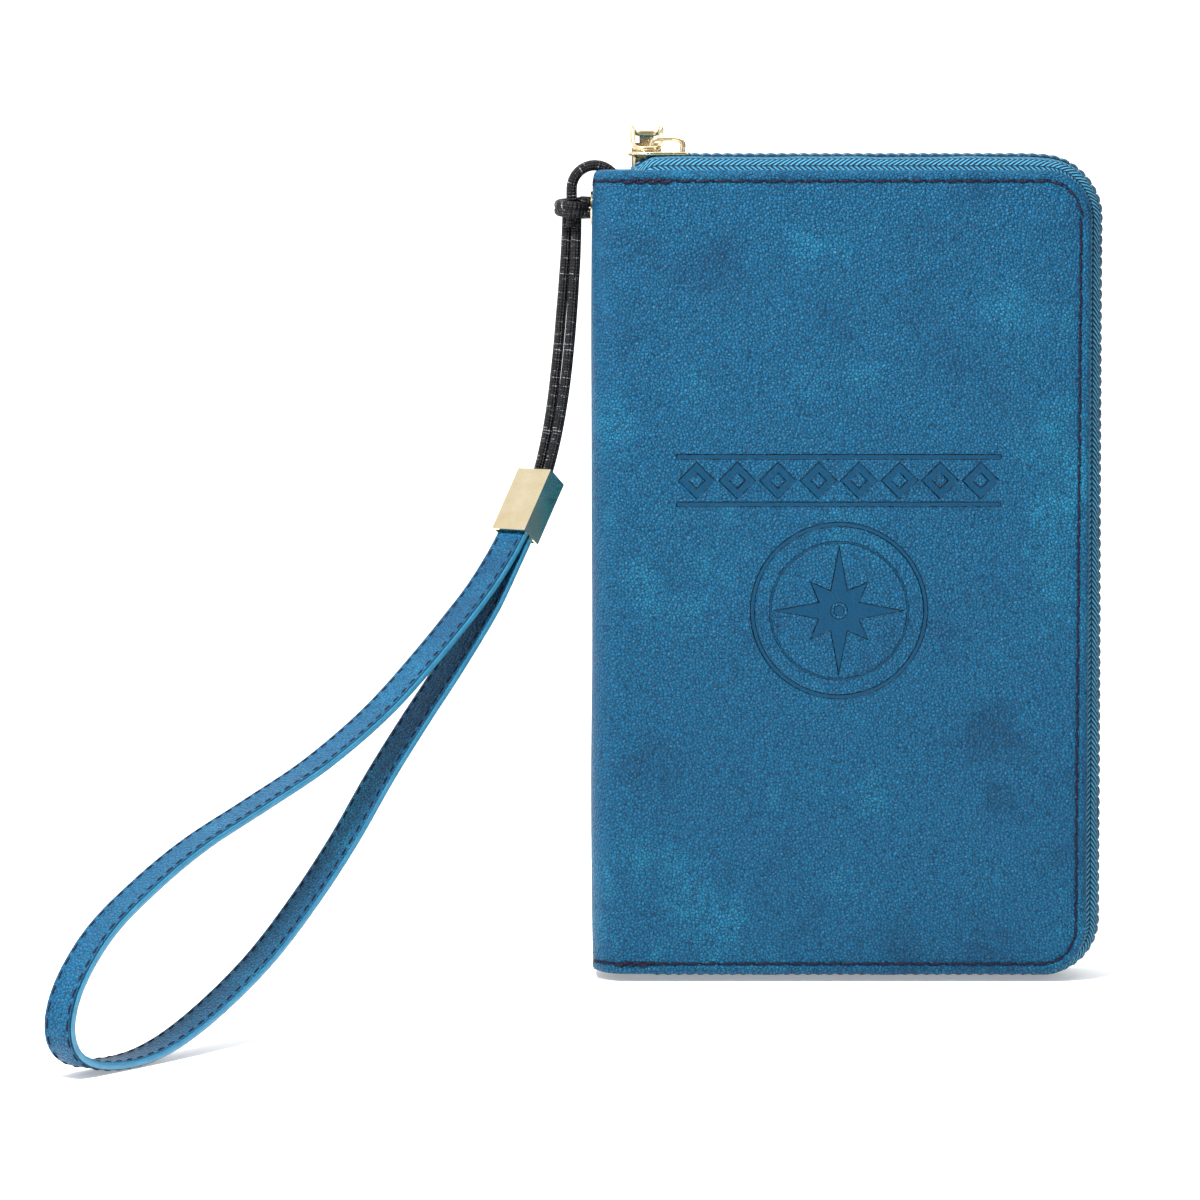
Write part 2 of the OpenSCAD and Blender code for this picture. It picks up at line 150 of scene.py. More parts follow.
# ---------- material helpers ----------
class Val:
    """A node socket that can be used in arithmetic."""

    def __init__(self, tree, socket):
        self.tree, self.socket = tree, socket

    def op(self, kind, *others):
        node = self.tree.nodes.new("ShaderNodeMath")
        node.operation = kind
        for k, v in enumerate((self, *others)):
            if isinstance(v, Val):
                self.tree.links.new(v.socket, node.inputs[k])
            else:
                node.inputs[k].default_value = v
        return Val(self.tree, node.outputs[0])

    def __add__(self, o):
        return self.op("ADD", o)

    def __sub__(self, o):
        return self.op("SUBTRACT", o)

    def __mul__(self, o):
        return self.op("MULTIPLY", o)

    def __truediv__(self, o):
        return self.op("DIVIDE", o)

    def abs(self):
        return self.op("ABSOLUTE")

    def sin(self):
        return self.op("SINE")

    def cos(self):
        return self.op("COSINE")

    def mod(self, o):
        return self.op("FLOORED_MODULO", o)

    def max(self, o):
        return self.op("MAXIMUM", o)

    def pingpong(self, o):
        return self.op("PINGPONG", o)

    def step(self, low, high):
        """0 below low, 1 above high, smooth between them."""
        node = self.tree.nodes.new("ShaderNodeMapRange")
        node.interpolation_type = "SMOOTHSTEP"
        self.tree.links.new(self.socket, node.inputs["Value"])
        turned = low > high
        node.inputs["From Min"].default_value = min(low, high)
        node.inputs["From Max"].default_value = max(low, high)
        node.inputs["To Min"].default_value = 1.0 if turned else 0.0
        node.inputs["To Max"].default_value = 0.0 if turned else 1.0
        return Val(self.tree, node.outputs["Result"])


class Paint:
    """A material whose patterns are laid out in millimetres on the UV map."""

    def __init__(self, name, roughness=0.5, metallic=0.0):
        self.material = bpy.data.materials.new(name)
        self.material.use_nodes = True
        self.tree = self.material.node_tree
        self.shader = next(n for n in self.tree.nodes if n.type == "BSDF_PRINCIPLED")
        self.shader.inputs["Roughness"].default_value = roughness
        self.shader.inputs["Metallic"].default_value = metallic
        uv = self.node("UVMap")
        uv.uv_map = "UVMap"
        scale = self.node("VectorMath")
        scale.operation = "MULTIPLY"
        scale.inputs[1].default_value = (100, 100, 1)
        self.link(uv.outputs["UV"], scale.inputs[0])
        self.at = scale.outputs["Vector"]
        split = self.node("SeparateXYZ")
        self.link(self.at, split.inputs[0])
        self.u = Val(self.tree, split.outputs["X"])
        self.v = Val(self.tree, split.outputs["Y"])

    def node(self, kind):
        return self.tree.nodes.new("ShaderNode" + kind)

    def link(self, source, target):
        self.tree.links.new(source, target)

    def space(self):
        """Object coordinates in millimetres, for the CAD pieces without a UV map."""
        coord = self.node("TexCoord")
        scale = self.node("VectorMath")
        scale.operation = "MULTIPLY"
        scale.inputs[1].default_value = (1000, 1000, 1000)
        self.link(coord.outputs["Object"], scale.inputs[0])
        self.at = scale.outputs["Vector"]
        return self

    def noise(self, size, detail=3.0, rough=0.5, distort=0.0, stretch=(1, 1, 1), move=0.0):
        """Noise whose features are about size millimetres."""
        node = self.node("TexNoise")
        mapping = self.node("Mapping")
        mapping.inputs["Scale"].default_value = stretch
        mapping.inputs["Location"].default_value = (move, move * 0.7, move * 0.3)
        self.link(self.at, mapping.inputs["Vector"])
        self.link(mapping.outputs["Vector"], node.inputs["Vector"])
        node.inputs["Scale"].default_value = 1.0 / size
        node.inputs["Detail"].default_value = detail
        node.inputs["Roughness"].default_value = rough
        node.inputs["Distortion"].default_value = distort
        return Val(self.tree, node.outputs["Fac"])

    def cells(self, size, feature="DISTANCE_TO_EDGE", wobble=0.0):
        node = self.node("TexVoronoi")
        node.feature = feature
        node.inputs["Scale"].default_value = 1.0 / size
        source = self.at
        if wobble:
            warp = self.node("TexNoise")
            warp.inputs["Scale"].default_value = 0.6 / size
            self.link(self.at, warp.inputs["Vector"])
            add = self.node("VectorMath")
            add.operation = "MULTIPLY_ADD"
            add.inputs[1].default_value = (wobble, wobble, wobble)
            self.link(warp.outputs["Color"], add.inputs[0])
            self.link(self.at, add.inputs[2])
            source = add.outputs["Vector"]
        self.link(source, node.inputs["Vector"])
        return Val(self.tree, node.outputs["Distance"])

    def ramp(self, value, stops):
        node = self.node("ValToRGB")
        while len(node.color_ramp.elements) < len(stops):
            node.color_ramp.elements.new(0.5)
        for element, (place, colour) in zip(node.color_ramp.elements, stops):
            element.position = place
            element.color = (*colour, 1)
        self.link(value.socket, node.inputs["Fac"])
        return node.outputs["Color"]

    def mix(self, share, socket, colour):
        """The socket's colour with a share of a constant colour over it."""
        node = self.node("Mix")
        node.data_type = "RGBA"
        self.link(share.socket, node.inputs["Factor"])
        self.link(socket, node.inputs[6])
        node.inputs[7].default_value = (*colour, 1)
        return node.outputs[2]

    def colour(self, socket):
        self.link(socket, self.shader.inputs["Base Color"])
        return self

    def rough(self, value):
        self.link(value.socket, self.shader.inputs["Roughness"])
        return self

    def set(self, **values):
        for name, value in values.items():
            self.shader.inputs[name.replace("_", " ")].default_value = value
        return self

    def bump(self, *layers):
        """Layers of (height 0 to 1, depth in millimetres)."""
        last = None
        for height, depth in layers:
            node = self.node("Bump")
            node.inputs["Strength"].default_value = 1.0
            node.inputs["Distance"].default_value = depth * MM
            self.link(height.socket, node.inputs["Height"])
            if last is not None:
                self.link(last, node.inputs["Normal"])
            last = node.outputs["Normal"]
        self.link(last, self.shader.inputs["Normal"])
        return self


# ---------- materials ----------
LEATHER_DARK = (0.0015, 0.056, 0.130)
LEATHER_MID = (0.003, 0.092, 0.195)
LEATHER_LIGHT = (0.009, 0.168, 0.295)
ROSE_X, ROSE_Z, ROSE_R = -2.5, 88.5, 20.4
BAND_X0, BAND_X1, BAND_Z, BAND_H = -40.8, 35.5, 119.2, 12.2


def star(x, z, points, tip, valley, turned=0.0):
    """1 inside a star with straight edges, 0 outside it."""
    angle = z.op("ARCTAN2", x) + (turned + 4 * math.pi)
    sector = 2 * math.pi / points
    t = ((angle + sector / 2).mod(sector) - sector / 2).abs()
    r = (x * x + z * z).op("SQRT")
    half = math.pi / points
    across = (1 - valley * math.cos(half) / tip) / (valley * math.sin(half))
    return (r * (t.cos() * (1 / tip) + t.sin() * across)).step(1.05, 0.94)


def debossed(p):
    """A compass rose in a ring and a band of lozenges between lines, pressed into the front."""
    x, z = p.u - ROSE_X, p.v - ROSE_Z
    r = (x * x + z * z).op("SQRT")
    ring = (r - ROSE_R).abs().step(0.66, 0.32)
    inner = (r - (ROSE_R - 4.2)).abs().step(0.34, 0.14)
    rose = star(x, z, 4, 15.2, 3.4).max(star(x, z, 4, 9.6, 3.9, math.pi / 4))
    hub = (r - 1.6).abs().step(0.5, 0.25)
    rose = (rose - hub * 0.9).max(0.0)
    middle = (BAND_X0 + BAND_X1) / 2
    along = (p.u - middle).abs()
    up = (p.v - BAND_Z).abs()
    inside = along.step((BAND_X1 - BAND_X0) / 2 + 0.15, (BAND_X1 - BAND_X0) / 2 - 0.15)
    line = (up - (BAND_H / 2 - 0.5)).abs().step(0.72, 0.38)
    pitch = (BAND_X1 - BAND_X0) / 8
    cell = ((p.u - BAND_X0).mod(pitch) - pitch / 2).abs()
    size = cell / (pitch * 0.46) + up / (BAND_H * 0.36)
    lozenge = size.step(1.06, 0.92) * size.step(0.34, 0.50)
    return ring.max(inner).max(rose).max(line.max(lozenge) * inside)


def leather(name, pattern=False, light=1.0, grain=1.0):
    p = Paint(name)
    cloud = p.noise(38, 2.0, 0.5, 0.25, move=3.1)
    wisps = p.noise(11, 4.0, 0.6, 0.3, move=17.0)
    mottle = p.noise(0.9, 3.0, 0.6, 0.2, move=8.0)
    tone = cloud * 0.60 + wisps * 0.40 + (mottle - 0.5) * 0.10
    c = [tuple(v * light for v in k) for k in (LEATHER_DARK, LEATHER_MID, LEATHER_LIGHT)]
    colour = p.ramp(tone, [(0.34, c[0]), (0.46, c[1]), (0.54, c[1]), (0.68, c[2])])
    creases = p.cells(0.76, wobble=0.8).step(0.0, 0.24)
    pebbles = p.cells(0.76, "F1", 0.8).step(0.75, 0.05)
    ripples = p.noise(3.4, 2.0, 0.5, 0.4, stretch=(1.0, 0.6, 1))
    # painted shade: the grain's creases are darkened in the colour, standing in for shade falling into them
    painted_crease_shade = creases.step(0.8, 0.0) * 0.86
    mask = debossed(p) if pattern else None
    if pattern:
        keep = mask * -0.75 + 1.0
        creases, pebbles, mottle, painted_crease_shade = creases * keep, pebbles * keep, mottle * keep, painted_crease_shade * keep
    # lays the painted crease shade over the leather's colour
    colour = p.mix(painted_crease_shade, colour, tuple(v * 0.40 for v in c[0]))
    layers = [(ripples, 0.35 * grain), (pebbles, 0.24 * grain)]
    layers += [(creases, 0.04 * grain), (mottle, 0.22 * grain)]
    roughness = ripples * 0.15 + 0.36
    if pattern:
        colour = p.mix(mask.step(0.5, 1.0) * 0.85, colour, tuple(v * 0.60 for v in c[0]))
        layers.append((mask * -1.0 + 1.0, 0.5))
    p.colour(colour).rough(roughness).bump(*layers)
    p.set(Specular_IOR_Level=0.15, Coat_Weight=0.015, Coat_Roughness=0.3)
    return p.material


def thread_paint():
    p = Paint("stitching_thread", 0.55)
    ply = (p.u * (2 * math.pi / 0.62) + p.v * (2 * math.pi)).sin() * 0.5 + 0.5
    fuzz = p.noise(0.22, 2.0)
    tone = ply * 0.6 + fuzz * 0.4
    p.colour(p.ramp(tone, [(0.1, (0.002, 0.002, 0.010)), (0.8, (0.008, 0.007, 0.030))]))
    p.bump((ply, 0.10), (fuzz, 0.05)).set(Specular_IOR_Level=0.2)
    return p.material


def tape_paint():
    """Herringbone: columns along the tape whose ribs lean to alternate sides."""
    p = Paint("zipper_tape_weave", 0.75)
    column = 2.3
    rib = ((p.u + p.v.pingpong(column) * 1.25) * (2 * math.pi / 1.28)).sin() * 0.5 + 0.5
    gap = p.v.mod(column)
    gap = (gap - column / 2).abs().step(column / 2 - 0.02, column / 2 - 0.2)
    yarn = p.noise(0.20, 2.0, 0.6)
    wear = p.noise(9.0, 3.0)
    height = rib.step(0.1, 0.75) * 0.8 * gap + yarn * 0.2
    tone = height * 0.8 + wear * 0.2
    p.colour(p.ramp(tone, [(0.22, (0.001, 0.011, 0.030)), (0.50, (0.008, 0.085, 0.175)),
                           (0.80, (0.040, 0.230, 0.370))]))
    p.bump((height, 0.3)).set(Specular_IOR_Level=0.25)
    return p.material


def weave_paint(name, dark, light, pitch):
    p = Paint(name, 0.8)
    k = math.pi / pitch
    warp = (p.u * k).sin().abs()
    weft = (p.v * k).sin().abs()
    over = ((p.u / pitch).op("FLOOR") + (p.v / pitch).op("FLOOR")).mod(2.0)
    height = warp * over + weft * (over * -1.0 + 1.0)
    slub = p.noise(3.0, 3.0)
    p.colour(p.ramp(height * 0.75 + slub * 0.25, [(0.15, dark), (0.85, light)]))
    p.bump((height, 0.08)).set(Sheen_Weight=0.2)
    return p.material


def coil_paint():
    p = Paint("coil_nylon", 0.35)
    tint = p.noise(1.2, 2.0)
    p.colour(p.ramp(tint, [(0.3, (0.004, 0.045, 0.090)), (0.7, (0.012, 0.095, 0.165))]))
    p.bump((tint, 0.03)).set(Specular_IOR_Level=0.5)
    return p.material


def cord_paint():
    """Waxed braid: crossing strands, with a few painted highlights (glints of light on the wax) between them.
    """
    p = Paint("braided_cord", 0.5)
    k = 2 * math.pi / 1.45
    a = (p.u * k + p.v * (2 * math.pi * 6)).sin()
    b = (p.u * k - p.v * (2 * math.pi * 6)).sin()
    braid = (a * b) * 0.5 + 0.5
    fibre = p.noise(0.16, 2.0, 0.6)
    # painted highlight: light grey spots stand in for glints of light on the waxed braid
    painted_glint = p.noise(0.34, 2.0, 0.7, move=5.0).step(0.60, 0.66) * braid.step(0.2, 0.9)
    base = p.ramp(braid * 0.6 + fibre * 0.4, [(0.2, (0.0008, 0.0008, 0.001)), (0.9, (0.006, 0.006, 0.008))])
    # mixes the painted glints into the cord's colour
    p.colour(p.mix(painted_glint * 0.55, base, (0.55, 0.56, 0.60)))
    p.rough(fibre * 0.3 + 0.36).bump((braid, 0.35), (fibre, 0.06)).set(Specular_IOR_Level=0.22)
    return p.material


def gold_paint():
    p = Paint("pale_gold_plating", 0.14, 1.0).space()
    haze = p.noise(6.0, 4.0, 0.6)
    lines = p.noise(0.5, 2.0, 0.6, stretch=(0.15, 1, 1))
    p.colour(p.ramp(haze, [(0.3, (0.80, 0.66, 0.40)), (0.7, (0.89, 0.77, 0.53))]))
    p.rough(haze * 0.12 + lines * 0.07 + 0.05).bump((lines, 0.012))
    return p.material


def board_paint():
    p = Paint("grey_board", 0.85).space()
    pulp = p.noise(0.8, 4.0, 0.7)
    p.colour(p.ramp(pulp, [(0.3, (0.36, 0.30, 0.22)), (0.7, (0.55, 0.48, 0.37))]))
    p.bump((pulp, 0.05))
    return p.material


def elastic_paint():
    p = Paint("ribbed_elastic", 0.7)
    rib = (p.v * (2 * math.pi / 1.1)).sin() * 0.5 + 0.5
    knit = (p.u * (2 * math.pi / 0.5)).sin() * 0.5 + 0.5
    p.colour(p.ramp(rib * 0.7 + knit * 0.3, [(0.2, (0.006, 0.006, 0.008)), (0.9, (0.035, 0.035, 0.042))]))
    p.bump((rib, 0.14), (knit, 0.04))
    return p.material


def edge_paint(name, low, high):
    p = Paint(name, 0.38)
    brush = p.noise(1.4, 3.0, 0.6, stretch=(0.3, 1, 1))
    p.colour(p.ramp(brush, [(0.3, low), (0.7, high)])).bump((brush, 0.05))
    p.set(Coat_Weight=0.25, Coat_Roughness=0.25)
    return p.material


M_FRONT = leather("front_leather", pattern=True)
M_LEATHER = leather("plain_leather")
M_POCKET = leather("pocket_leather", light=0.95, grain=0.8)
M_STRAP = leather("strap_leather", light=1.12, grain=0.8)
M_THREAD = thread_paint()
M_TAPE = tape_paint()
M_LINING = weave_paint("lining_weave", (0.006, 0.050, 0.105), (0.016, 0.105, 0.190), 0.55)
M_COIL = coil_paint()
M_CORD = cord_paint()
M_GOLD = gold_paint()
M_BOARD = board_paint()
M_ELASTIC = elastic_paint()
M_EDGE = edge_paint("painted_edge", (0.010, 0.130, 0.260), (0.022, 0.190, 0.340))
M_STRAP_EDGE = edge_paint("strap_painted_edge", (0.014, 0.150, 0.270), (0.030, 0.210, 0.350))


# ---------- mesh helpers ----------
def build(name, points, faces, uvs, materials, indices):
    """A mesh from points in millimetres. uvs holds one (u, v) in millimetres per point."""
    mesh = bpy.data.meshes.new(name)
    mesh.from_pydata([tuple(float(c) * MM for c in p) for p in points], [], [tuple(f) for f in faces])
    layer = mesh.uv_layers.new(name="UVMap")
    loop_vertex = np.zeros(len(mesh.loops), np.int32)
    mesh.loops.foreach_get("vertex_index", loop_vertex)
    flat = (np.array(uvs, float)[loop_vertex] / 100.0).astype(np.float32)
    layer.data.foreach_set("uv", flat.ravel())
    for m in materials if isinstance(materials, (list, tuple)) else [materials]:
        mesh.materials.append(m)
    mesh.polygons.foreach_set("material_index", np.array(indices, np.int32))
    mesh.polygons.foreach_set("use_smooth", [True] * len(mesh.polygons))
    mesh.validate()
    mesh.update()
    thing = bpy.data.objects.new(name, mesh)
    bpy.context.scene.collection.objects.link(thing)
    return thing


class Parts:
    """Collects points, faces and UVs of many small shapes for one mesh."""

    def __init__(self):
        self.points, self.faces, self.uvs, self.indices = [], [], [], []

    def grid(self, rows, uvs, close_row=False, close_column=False, index=0, flip=False):
        """rows[i][j] are points. Neighbouring rows and columns are joined with quads."""
        base, n, m = len(self.points), len(rows), len(rows[0])
        for row, uv_row in zip(rows, uvs):
            self.points.extend(row)
            self.uvs.extend(uv_row)
        for i in range(n if close_column else n - 1):
            for j in range(m if close_row else m - 1):
                a, b = base + i * m + j, base + i * m + (j + 1) % m
                c, d = base + ((i + 1) % n) * m + (j + 1) % m, base + ((i + 1) % n) * m + j
                self.faces.append((a, d, c, b) if flip else (a, b, c, d))
                self.indices.append(index)
        return base

    def cap(self, first, count, flip=False):
        ring = list(range(first, first + count))
        self.faces.append(ring[::-1] if flip else ring)
        self.indices.append(0)

    def make(self, name, materials):
        return build(name, self.points, self.faces, self.uvs, materials, self.indices)


def unit(v):
    v = np.array(v, float)
    return v / max(np.linalg.norm(v), 1e-9)


def tube(parts, path, radius, sides=10, squash=1.0, up=None, radii=None):
    """A round tube along a path, with rings that don't twist."""
    path = np.array(path, float)
    n = len(path)
    tangents = [unit(path[min(i + 1, n - 1)] - path[max(i - 1, 0)]) for i in range(n)]
    side = unit(np.cross(tangents[0], up if up is not None else (0.31, 0.87, 0.39)))
    rows, uvs, run = [], [], 0.0
    for i in range(n):
        t = tangents[i]
        side = unit(side - t * np.dot(side, t))
        other = np.cross(t, side)
        if i:
            run += np.linalg.norm(path[i] - path[i - 1])
        r = radius if radii is None else radii[i]
        ring = []
        for k in range(sides):
            a = 2 * math.pi * k / sides
            ring.append(path[i] + r * (math.cos(a) * side + squash * math.sin(a) * other))
        rows.append(ring)
        uvs.append([(run, k / sides) for k in range(sides)])
    base = parts.grid(rows, uvs, close_row=True, flip=True)
    parts.cap(base, sides)
    parts.cap(base + (n - 1) * sides, sides, flip=True)


def stitch(parts, centre, along, out, length, radius, lift=0.0):
    """One stitch: a short thread that dives into the leather at both ends."""
    along, out = unit(along), unit(out)
    path, radii = [], []
    for t in (-1.0, -0.86, -0.55, 0.0, 0.55, 0.86, 1.0):
        drop = radius * (2.0 * abs(t) ** 4)
        path.append(np.array(centre) + along * (t * length / 2) + out * (lift - drop))
        radii.append(radius * (0.72 if abs(t) > 0.9 else 1.0))
    tube(parts, path, radius, 6, up=out, radii=radii)


def smoothstep(t):
    t = min(1.0, max(0.0, t))
    return t * t * (3 - 2 * t)


# ---------- covers ----------
def cover_top(u):
    return SPINE_TOP + (TOP - SPINE_TOP) * smoothstep(u / (0.2 * ARC))


def pillow(u, z):
    """Soft unevenness of the padded cover, in millimetres outward."""
    x = u - ARC
    edge = smoothstep((COVER_U - u) / 16) * smoothstep((z - BOTTOM) / 16) * smoothstep((TOP - z) / 16)
    waves = 0.10 * math.sin(x * 0.061 + 1.3) * math.sin(z * 0.047 + 0.4)
    waves += 0.06 * math.sin(x * 0.13 + z * 0.07) + 0.05 * math.sin(z * 0.11 - x * 0.05 + 2)
    return edge * (0.32 + waves)


def cover_point(u, z, depth, side):
    """A point on a cover, u across from the spine's seam and depth inward from the outer face."""
    depth = depth - pillow(u, z)
    if u < ARC:
        a = math.pi + u / TURN_R
        x = TURN_X + (TURN_R - depth) * math.cos(a)
        y = -TURN_Y + (TURN_R - depth) * math.sin(a)
    else:
        x, y = TURN_X + u - ARC, -HALF_T + depth
    return np.array([x, -side * y, z])


COLUMNS = [ARC * i / 12 for i in range(12)] + list(np.linspace(ARC, COVER_U - CORNER_R, 34))
CORNER_STEPS = 8
ROWS = 54
STITCH_INSET = 2.6
RIM = [
    (4.2, 0.0), (3.5, 0.02), (3.0, 0.14), (2.6, 0.26), (2.2, 0.12), (1.85, -0.04), (1.5, -0.08), (1.1, 0.0),
    (0.75, 0.15), (0.42, 0.4), (0.18, 0.72), (0.04, 1.08), (0.0, 1.35), (0.1, 1.7), (0.35, 1.95), (0.8, 2.05),
]
INNER = 5.0


def outline(inset):
    """Points (u, z) along the top, the long side and the bottom."""
    right, r = COVER_U - CORNER_R, CORNER_R - inset
    path = [(u, cover_top(u) - inset) for u in COLUMNS]
    for k in range(1, CORNER_STEPS + 1):
        a = math.pi / 2 * (1 - k / CORNER_STEPS)
        path.append((right + r * math.cos(a), TOP - CORNER_R + r * math.sin(a)))
    for k in range(1, ROWS + 1):
        path.append((right + r, TOP - CORNER_R + (BOTTOM - TOP + 2 * CORNER_R) * k / ROWS))
    for k in range(1, CORNER_STEPS + 1):
        a = -math.pi / 2 * k / CORNER_STEPS
        path.append((right + r * math.cos(a), BOTTOM + CORNER_R + r * math.sin(a)))
    path += [(u, BOTTOM + inset) for u in reversed(COLUMNS[:-1])]
    return path


def cover_skin(name, side, material):
    parts = Parts()
    top = outline(INNER)
    n = len(COLUMNS) + CORNER_STEPS
    bottom = list(reversed(top))[:n]
    rows, uvs = [], []
    for i in range(n):
        (u, z1), (_, z0) = top[i], bottom[i]
        column = [(u, z1 + (z0 - z1) * j / ROWS) for j in range(ROWS + 1)]
        rows.append([cover_point(a, b, 0.0, side) for a, b in column])
        uvs.append([(a - ARC + TURN_X, b) for a, b in column])
    parts.grid(rows, uvs, flip=side > 0)
    rings, ring_uvs = [], []
    for inset, depth in [(INNER, 0.0)] + RIM + [(6.0, LEATHER)]:
        path = outline(inset)
        rings.append([cover_point(u, z, depth, side) for u, z in path])
        ring_uvs.append([(u - ARC + TURN_X, z + depth * 0.7) for u, z in path])
    painted = 12
    parts.grid(rings[: painted + 1], ring_uvs[: painted + 1], flip=side > 0)
    parts.grid(rings[painted:], ring_uvs[painted:], flip=side > 0, index=1)
    inner_rows = [[cover_point(a, b, LEATHER, side) for a, b in
                   [(top[i][0], top[i][1] + (bottom[i][1] - top[i][1]) * j / 6) for j in range(7)]]
                  for i in range(n)]
    inner_uvs = [[(q[0], q[2]) for q in row] for row in inner_rows]
    parts.grid(inner_rows, inner_uvs, flip=side < 0)
    return parts.make(name, [material, M_EDGE])


def walk(path, pitch, start=0.0):
    """Places (point, direction) every pitch along a path of 2-D or 3-D points."""
    path = np.array(path, float)
    steps = np.linalg.norm(np.diff(path, axis=0), axis=1)
    run = np.concatenate([[0], np.cumsum(steps)])
    out, s = [], start
    while s < run[-1]:
        i = int(np.searchsorted(run, s, "right")) - 1
        t = (s - run[i]) / max(steps[i], 1e-9)
        out.append((path[i] + (path[i + 1] - path[i]) * t, (path[i + 1] - path[i]) / max(steps[i], 1e-9), s))
        s += pitch
    return out


def cover_stitch(parts, u, z, direction, side, length, radius=0.33, lift=0.0):
    d = np.array(direction) * 0.5
    here = cover_point(u, z, 0.12, side)
    ahead = cover_point(u + d[0], z + d[1], 0.12, side)
    behind = cover_point(u - d[0], z - d[1], 0.12, side)
    above = cover_point(u, z, -0.88, side)
    stitch(parts, here, ahead - behind, above - here, length, radius, lift)


def cover_stitches(name, side):
    parts = Parts()
    pitch, lean, hole_at = 4.15, 0.10, 1.9
    for (u, z), d, _ in walk(outline(STITCH_INSET), pitch, 2.0):
        d = (d[0] - lean * d[1], d[1] + lean * d[0])
        cover_stitch(parts, u + rng.uniform(-0.08, 0.08), z + rng.uniform(-0.05, 0.05), d, side, 3.45)
        here = cover_point(u, z, 0, side)
        along = cover_point(u + d[0], z + d[1], 0, side) - here
        out = cover_point(u, z, -1, side) - here
        for k in (-1, 1):
            hole = cover_point(u + k * d[0] * hole_at, z + k * d[1] * hole_at, 0.10, side)
            stitch(parts, hole, along, out, 0.8, 0.22, -0.05)
    bar_pitch, sway = 1.45, 0.26
    upper = (ARC - 0.4, ARC + 10.9, TOP - STITCH_INSET)
    lower = (ARC - 2.5, ARC + 6.7, BOTTOM + STITCH_INSET)
    for low, high, z in (upper, lower):
        for k in range(int((high - low) / bar_pitch)):
            u = low + bar_pitch * k + 0.7
            cover_stitch(parts, u, z + (sway if k % 2 else -sway), (1, 0.05), side, 2.7, 0.36, 0.16)
    return parts.make(name, M_THREAD)


SEAM_Z = 95
for half, side, material in (("front", -1, M_FRONT), ("back", 1, M_LEATHER)):
    seam_start = metres((LEFT, side * TURN_Y, SEAM_Z))
    seam_end = metres((TURN_X, side * HALF_T, SEAM_Z))
    skin = cover_skin(half + "_cover_skin", side, material)
    half + "_half"
    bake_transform(skin)
    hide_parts(half + "_cover_leather")
    sewn = cover_stitches(half + "_cover_stitches", side)
    half + "_half"
    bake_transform(sewn)


# ---------- spine ----------
def spine_skin():
    parts = Parts()
    hole_r = 3.0
    z_low, z_high = EYELET_Z - 5.2, EYELET_Z + 5.2
    ys = np.linspace(-TURN_Y, TURN_Y, 7)

    def sheet(levels, depths):
        rows = [[(LEFT + d, y, z) for y in ys] for z, d in zip(levels, depths)]
        parts.grid(rows, [[(y - 70, z) for y in ys] for z in levels], flip=True)

    sheet([BOTTOM + 0.6, BOTTOM + 0.25, BOTTOM + 0.06, BOTTOM, BOTTOM + 0.18, BOTTOM + 0.75, BOTTOM + 1.75,
           BOTTOM + 2.2, BOTTOM + 2.6, BOTTOM + 3.0, BOTTOM + 5, z_low],
          [1.2, 1.15, 1.0, 0.75, 0.28, 0.02, 0, 0.1, 0.17, 0.1, 0, 0])
    t = SPINE_TOP
    sheet([z_high, t - 1.2, t - 0.75, t - 0.42, t - 0.18, t - 0.04, t, t - 0.06, t - 0.25, t - 0.6],
          [0, 0, 0.02, 0.12, 0.28, 0.5, 0.75, 1.0, 1.15, 1.2])
    count = 48
    rows, uvs = [], []
    for blend in (0.0, 0.35, 1.0):
        ring = []
        for k in range(count):
            a = 2 * math.pi * (k + 0.5) / count
            c, s = math.cos(a), math.sin(a)
            reach = min(TURN_Y / max(abs(c), 1e-6), (z_high - EYELET_Z) / max(abs(s), 1e-6))
            r = hole_r + (reach - hole_r) * blend
            ring.append((LEFT, r * c, EYELET_Z + r * s))
        rows.append(ring)
        uvs.append([(p[1] - 70, p[2]) for p in ring])
    parts.grid(rows, uvs, close_row=True, flip=False)
    inside = [(LEFT + LEATHER, p[1], p[2]) for p in rows[0]]
    parts.grid([inside, rows[0]], [uvs[0], uvs[0]], close_row=True)
    return parts.make("spine_skin", M_LEATHER)


spine_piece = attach(spine_skin(), "spine")
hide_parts("spine_leather")


# ---------- zipper ----------
ZIP_R = CORNER_R + 3
ZIP_START = TAPE_LOW[0]
ZIP_RIGHT, ZIP_TOP = TAPE_HIGH[0], TAPE_HIGH[2]
RUN = ZIP_RIGHT - ZIP_R - ZIP_START
SIDE_RUN = ZIP_TOP - 2 * ZIP_R
BEND = ZIP_R * math.pi / 2
ZIP_LENGTH = 2 * RUN + 2 * BEND + SIDE_RUN


def zip_point(s, o, w, side):
    """A point on the zipper: s along it, o outward, w from the middle plane."""
    o = o - 2.6 * smoothstep((5.5 - s) / 5.5) - 1.0 * smoothstep((6 - (ZIP_LENGTH - s)) / 6)
    o = o - 1.5 * smoothstep((s - RUN + 6) / BEND) + 0.5 * smoothstep((s - RUN - BEND) / SIDE_RUN)
    corner = ZIP_RIGHT - ZIP_R
    if s < RUN:
        x, z = ZIP_START + s, ZIP_TOP + o
    elif s < RUN + BEND:
        a = math.pi / 2 - (s - RUN) / ZIP_R
        x, z = corner + (ZIP_R + o) * math.cos(a), ZIP_TOP - ZIP_R + (ZIP_R + o) * math.sin(a)
    elif s < RUN + BEND + SIDE_RUN:
        x, z = ZIP_RIGHT + o, ZIP_TOP - ZIP_R - (s - RUN - BEND)
    elif s < RUN + 2 * BEND + SIDE_RUN:
        a = -(s - RUN - BEND - SIDE_RUN) / ZIP_R
        x, z = corner + (ZIP_R + o) * math.cos(a), ZIP_R + (ZIP_R + o) * math.sin(a)
    else:
        x, z = corner - (s - RUN - 2 * BEND - SIDE_RUN), -o
    return np.array([x, side * w, z])


